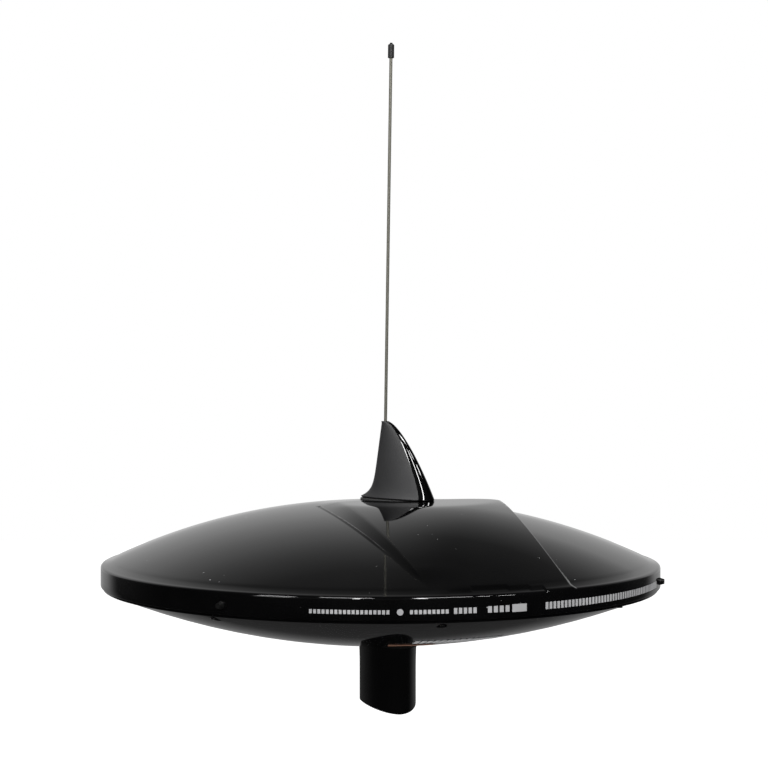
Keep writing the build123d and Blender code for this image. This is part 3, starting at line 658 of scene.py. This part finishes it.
def build_stem():
    """Stem with a flared top, rounded foot, sleeve bore and connector chamber."""
    profile = [(-0.8, 0.0), (-0.3, 0.12), (-0.08, 0.35), (0.0, 0.8), (0.0, 8.0), (0.0, 16.0), (0.0, 22.0)]
    profile += [(0.0015 * (z - 22.0) ** 2, z) for z in (25.0, 28.0, 31.0, 34.0, 37.0, 39.5)]
    profile += [(0.0015 * (STEM_TOP - 22.0) ** 2, STEM_TOP)]
    rings = [[(x, y, z) for x, y in stem_outline(grow)] for grow, z in profile]
    count = len(rings[0])
    angles = [atan2(y, x) for x, y in stem_outline(0.0)]
    bore = [(CHAMBER_RADIUS, STEM_TOP), (CHAMBER_RADIUS, SLEEVE_LENGTH)]
    bore += [(SLEEVE_RADIUS, SLEEVE_LENGTH), (SLEEVE_RADIUS, 0.0)]
    for radius, z in bore:
        rings.append([(radius * cos(a), radius * sin(a), z) for a in angles])
    points = [(x * MM, y * MM, z * MM) for ring in rings for x, y, z in ring]
    faces = ring_faces(len(rings), count)
    last = (len(rings) - 1) * count
    faces += [(last + j, last + (j + 1) % count, (j + 1) % count, j) for j in range(count)]
    stem = new_mesh("stem_body", points, faces, stem_black)
    sharpen(stem, 38.0)
    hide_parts("mast_stem")
    return stem


# ---------------------------------------------------------------- print on the band
def band_mark(name, start, end, low, high, material=None, lean=0.0):
    """A thin printed bar on the rim band between two angles and two heights."""
    radius = DISC_RADIUS + 0.04
    steps = max(2, ceil((end - start) / 0.5))
    points = []
    for layer in (radius - 0.1, radius):
        for i in range(steps + 1):
            angle = start + (end - start) * i / steps
            for z, shift in ((low, 0.0), (high, lean)):
                x, y = polar(layer, angle + shift)
                points.append(hull_point(x, y, z))
    row = 2 * (steps + 1)
    faces = []
    for i in range(steps):
        a = 2 * i
        faces.append((row + a, row + a + 2, row + a + 3, row + a + 1))
        faces.append((a, a + 1, a + 3, a + 2))
        faces.append((a, a + 2, row + a + 2, row + a))
        faces.append((a + 1, row + a + 1, row + a + 3, a + 3))
    faces.append((0, row, row + 1, 1))
    faces.append((row - 2, row - 1, 2 * row - 1, 2 * row - 2))
    return new_mesh(name, points, faces, material or print_grey, smooth=False)


def joined(name, pieces):
    """Joins small pieces of one material into one object."""
    mesh = bpy.data.meshes.new(name)
    points = []
    faces = []
    for piece in pieces:
        first = len(points)
        points += [tuple(v.co) for v in piece.data.vertices]
        faces += [tuple(first + i for i in p.vertices) for p in piece.data.polygons]
        material = piece.data.materials[0]
        bpy.data.objects.remove(piece)
    return new_mesh(name, points, faces, material, smooth=False)


def bar_group(name, start, end, low, high, count, gap=0.32, lean=0.0):
    """A row of evenly spaced plain bars that stands for a printed line."""
    pitch = (end - start) / count
    bars = []
    for i in range(count):
        first = start + i * pitch
        bars.append(band_mark(name + str(i), first, first + pitch * (1 - gap), low, high, lean=lean))
    return joined(name, bars)


def build_print():
    """Plain bars and dashes on the band, which carry no words."""
    bar_group("band_bars_a", -13.0, 1.2, 4.0, 6.2, 19)
    bar_group("band_bars_b", 4.5, 11.5, 4.0, 6.2, 9)
    bar_group("band_bars_c", 12.2, 16.6, 3.7, 6.8, 5)
    bar_group("band_bars_d", 18.4, 22.9, 3.6, 7.0, 4)
    bar_group("band_bars_e", 30.0, 70.0, 3.4, 7.2, 46)
    band_mark("band_block", 23.1, 26.0, 3.2, 7.4)
    band_dot("band_dot", 2.8, 5.1, 1.7)
    marks = []
    for i in range(15):
        start = 8.7 + 1.8 * i
        marks.append(keel_mark("keel_bar" + str(i), start, start + 1.25, 112.0, 123.0, print_grey))
    joined("keel_bars", marks)
    keel_mark("keel_arc", 2.0, 17.5, 97.0, 103.0, print_copper)


def keel_height(radius):
    """Height of the lower shell's outside, a shallow ball shape."""
    ball = (DISC_RADIUS ** 2 + KEEL_DEPTH ** 2) / (2 * KEEL_DEPTH)
    return ball - KEEL_DEPTH - GASKET_HALF - (ball ** 2 - radius ** 2) ** 0.5


def keel_mark(name, start, end, inner, outer, material):
    """A thin printed patch under the hull between two angles and two radii."""
    steps = max(2, ceil(end - start))
    rows = 4
    points = []
    for lift in (-0.1, 0.12):
        for i in range(steps + 1):
            for k in range(rows + 1):
                radius = inner + (outer - inner) * k / rows
                x, y = polar(radius, start + (end - start) * i / steps)
                points.append(hull_point(x, y, keel_height(radius) - lift))
    row = rows + 1
    layer = row * (steps + 1)
    faces = []
    for i in range(steps):
        for k in range(rows):
            a = i * row + k
            faces.append((layer + a, layer + a + 1, layer + a + row + 1, layer + a + row))
            faces.append((a, a + row, a + row + 1, a + 1))
        a = i * row
        faces.append((a, layer + a, layer + a + row, a + row))
        a = i * row + rows
        faces.append((a, a + row, layer + a + row, layer + a))
    for k in range(rows):
        faces.append((k, k + 1, layer + k + 1, layer + k))
        a = steps * row + k
        faces.append((a, layer + a, layer + a + 1, a + 1))
    return new_mesh(name, points, faces, material, smooth=False)


def band_dot(name, angle, height, radius):
    """A plain printed dot on the rim band."""
    count = 28
    points = []
    for layer in (DISC_RADIUS - 0.06, DISC_RADIUS + 0.04):
        for i in range(count):
            turn = 2 * pi * i / count
            x, y = polar(layer, angle + degrees(radius * cos(turn) / DISC_RADIUS))
            points.append(hull_point(x, y, height + radius * sin(turn)))
    faces = [tuple(reversed(range(count))), tuple(range(count, 2 * count))]
    faces += [(i, (i + 1) % count, count + (i + 1) % count, count + i) for i in range(count)]
    return new_mesh(name, points, faces, print_grey, smooth=False)


# ---------------------------------------------------------------- studio
OVERHEAD_TUBES = (
    ("tube_a", -1.4, 0.6),
    ("tube_b", -0.4, 0.65),
    ("tube_c", 0.75, 0.75),
    ("tube_d", 1.38, 0.2),
    ("tube_e", 1.85, 0.3),
)
FRONT_TUBES = (
    ("tube_f", (-0.3, -1.7, 1.15), 0.09),
    ("tube_g", (0.46, -1.6, 1.3), 0.13),
)
FRONT_TUBE_LENGTH = 0.6
TUBE_DEPTH = 0.16
TUBE_GLOW = 120.0


def build_camera():
    """Level camera a metre in front of the disc's axis."""
    data = bpy.data.cameras.new("camera")
    data.sensor_width = 36.0
    data.lens = 73.84
    data.shift_x = 0.0286
    data.clip_end = 50.0
    camera = bpy.data.objects.new("camera", data)
    camera.location = (HULL_X - 11.4 * MM, HULL_Y - 1.0, SEAM_Z + 124.7 * MM)
    camera.rotation_euler = (pi / 2, 0.0, 0.0)
    bpy.context.scene.collection.objects.link(camera)
    bpy.context.scene.camera = camera


def panel(name, location, target, width, height, power):
    """A rectangular softbox facing a target."""
    data = bpy.data.lights.new(name, "AREA")
    data.shape = "RECTANGLE"
    data.size = width
    data.size_y = height
    data.energy = power
    light = bpy.data.objects.new(name, data)
    light.location = location
    to = np.array(target) - np.array(location)
    flat = hypot(to[0], to[1])
    light.rotation_euler = (pi / 2 - atan2(-to[2], flat), 0.0, atan2(-to[0], to[1]))
    bpy.context.scene.collection.objects.link(light)
    return light


def build_world():
    """Pale backdrop for the eye, and a dark studio with a lit wall for reflections."""
    world = bpy.data.worlds.new("studio")
    bpy.context.scene.world = world
    world.use_nodes = True
    tree = world.node_tree
    tree.nodes.clear()
    coords = tree.nodes.new("ShaderNodeTexCoord")
    split = tree.nodes.new("ShaderNodeSeparateXYZ")
    tree.links.new(coords.outputs["Generated"], split.inputs[0])

    def ramp(value, stops, smooth=True):
        node = tree.nodes.new("ShaderNodeValToRGB")
        node.color_ramp.interpolation = "EASE" if smooth else "LINEAR"
        elements = node.color_ramp.elements
        while len(elements) < len(stops):
            elements.new(0.5)
        for element, (place, level) in zip(elements, stops):
            element.position = place
            element.color = (level, level, level, 1.0)
        tree.links.new(value, node.inputs["Fac"])
        return node.outputs["Color"]

    def shift(value):
        node = tree.nodes.new("ShaderNodeMapRange")
        node.inputs["From Min"].default_value = -1.0
        tree.links.new(value, node.inputs["Value"])
        return node.outputs["Result"]

    def product(first, second):
        node = tree.nodes.new("ShaderNodeMix")
        node.data_type = "RGBA"
        node.blend_type = "MULTIPLY"
        node.inputs["Factor"].default_value = 1.0
        tree.links.new(first, node.inputs["A"])
        tree.links.new(second, node.inputs["B"])
        return node.outputs["Result"]

    low = [(0.28, 0.05), (0.42, 0.33), (0.5, 0.66)]
    high = [(0.55, 0.56), (0.6, 0.57), (0.66, 0.58), (0.72, 0.52), (0.78, 0.4)]
    high += [(0.83, 0.26), (0.88, 0.13), (0.93, 0.1)]
    high_right = high[:3] + [(0.7, 0.42), (0.76, 0.24), (0.82, 0.09), (0.88, 0.06)]
    left = ramp(shift(split.outputs["Z"]), low + high, False)
    right = ramp(shift(split.outputs["Z"]), low + high_right, False)
    side = tree.nodes.new("ShaderNodeMix")
    side.data_type = "RGBA"
    tree.links.new(ramp(shift(split.outputs["X"]), [(0.49, 0.0), (0.57, 1.0)]), side.inputs["Factor"])
    tree.links.new(left, side.inputs["A"])
    tree.links.new(right, side.inputs["B"])
    depth = tree.nodes.new("ShaderNodeMix")
    depth.data_type = "RGBA"
    tree.links.new(ramp(shift(split.outputs["Y"]), [(0.55, 0.0), (0.85, 1.0)]), depth.inputs["Factor"])
    tree.links.new(ramp(shift(split.outputs["Z"]), [(0.5, 0.02), (0.64, 0.16)]), depth.inputs["A"])
    depth.inputs["B"].default_value = (1.0, 1.0, 1.0, 1.0)
    wings = ramp(shift(split.outputs["X"]), [(0.12, 0.1), (0.23, 1.0), (0.77, 1.0), (0.88, 0.1)])
    light = product(product(side.outputs["Result"], depth.outputs["Result"]), wings)
    eye = tree.nodes.new("ShaderNodeBackground")
    eye.inputs["Color"].default_value = (1.0, 1.0, 1.0, 1.0)
    room = tree.nodes.new("ShaderNodeBackground")
    tree.links.new(light, room.inputs["Color"])
    soft = tree.nodes.new("ShaderNodeBackground")
    soft.inputs["Color"].default_value = (0.45, 0.45, 0.45, 1.0)
    path = tree.nodes.new("ShaderNodeLightPath")
    first = tree.nodes.new("ShaderNodeMixShader")
    tree.links.new(path.outputs["Is Diffuse Ray"], first.inputs["Fac"])
    tree.links.new(room.outputs[0], first.inputs[1])
    tree.links.new(soft.outputs[0], first.inputs[2])
    last = tree.nodes.new("ShaderNodeMixShader")
    tree.links.new(path.outputs["Is Camera Ray"], last.inputs["Fac"])
    tree.links.new(first.outputs[0], last.inputs[1])
    tree.links.new(eye.outputs[0], last.inputs[2])
    output = tree.nodes.new("ShaderNodeOutputWorld")
    tree.links.new(last.outputs[0], output.inputs["Surface"])


def build_floor():
    """Wide pale floor well below the antenna, which hangs in the air on its mount."""
    half = 12.0
    low = -1.1
    mesh = bpy.data.meshes.new("floor")
    corners = [(-half, -half, low), (half, -half, low), (half, half, low), (-half, half, low)]
    mesh.from_pydata(corners, [], [(0, 1, 2, 3)])
    floor = bpy.data.objects.new("floor", mesh)
    bpy.context.scene.collection.objects.link(floor)
    n = Nodes("pale_floor")
    n.set(Roughness=0.9)
    n.shader.inputs["Emission Color"].default_value = (1.0, 1.0, 1.0, 1.0)
    n.shader.inputs["Emission Strength"].default_value = 0.8
    n.colour(n.ramp(n.noise(3.0), 0.3, 0.7, 0.0, 1.0), (0.82, 0.82, 0.82), (0.86, 0.86, 0.86))
    mesh.materials.append(n.material)
    floor.visible_glossy = False


finish_nodes()
build_top_shell()
build_fin()
build_fin_pad()
build_stem()
build_print()
build_camera()
build_world()
build_floor()
for name, across, length in OVERHEAD_TUBES:
    panel(name, (across, -1.2, 2.0), (0.0, 0.0, 0.1), length, TUBE_DEPTH, TUBE_GLOW * length * TUBE_DEPTH)
for name, place, width in FRONT_TUBES:
    panel(name, place, (0.0, 0.0, 0.15), width, FRONT_TUBE_LENGTH, TUBE_GLOW * width * FRONT_TUBE_LENGTH)
panel("front_left", (-2.0, -2.2, 1.2), (0.0, 0.0, 0.1), 0.8, 1.2, 10.0)
bpy.context.scene.view_settings.view_transform = "Standard"
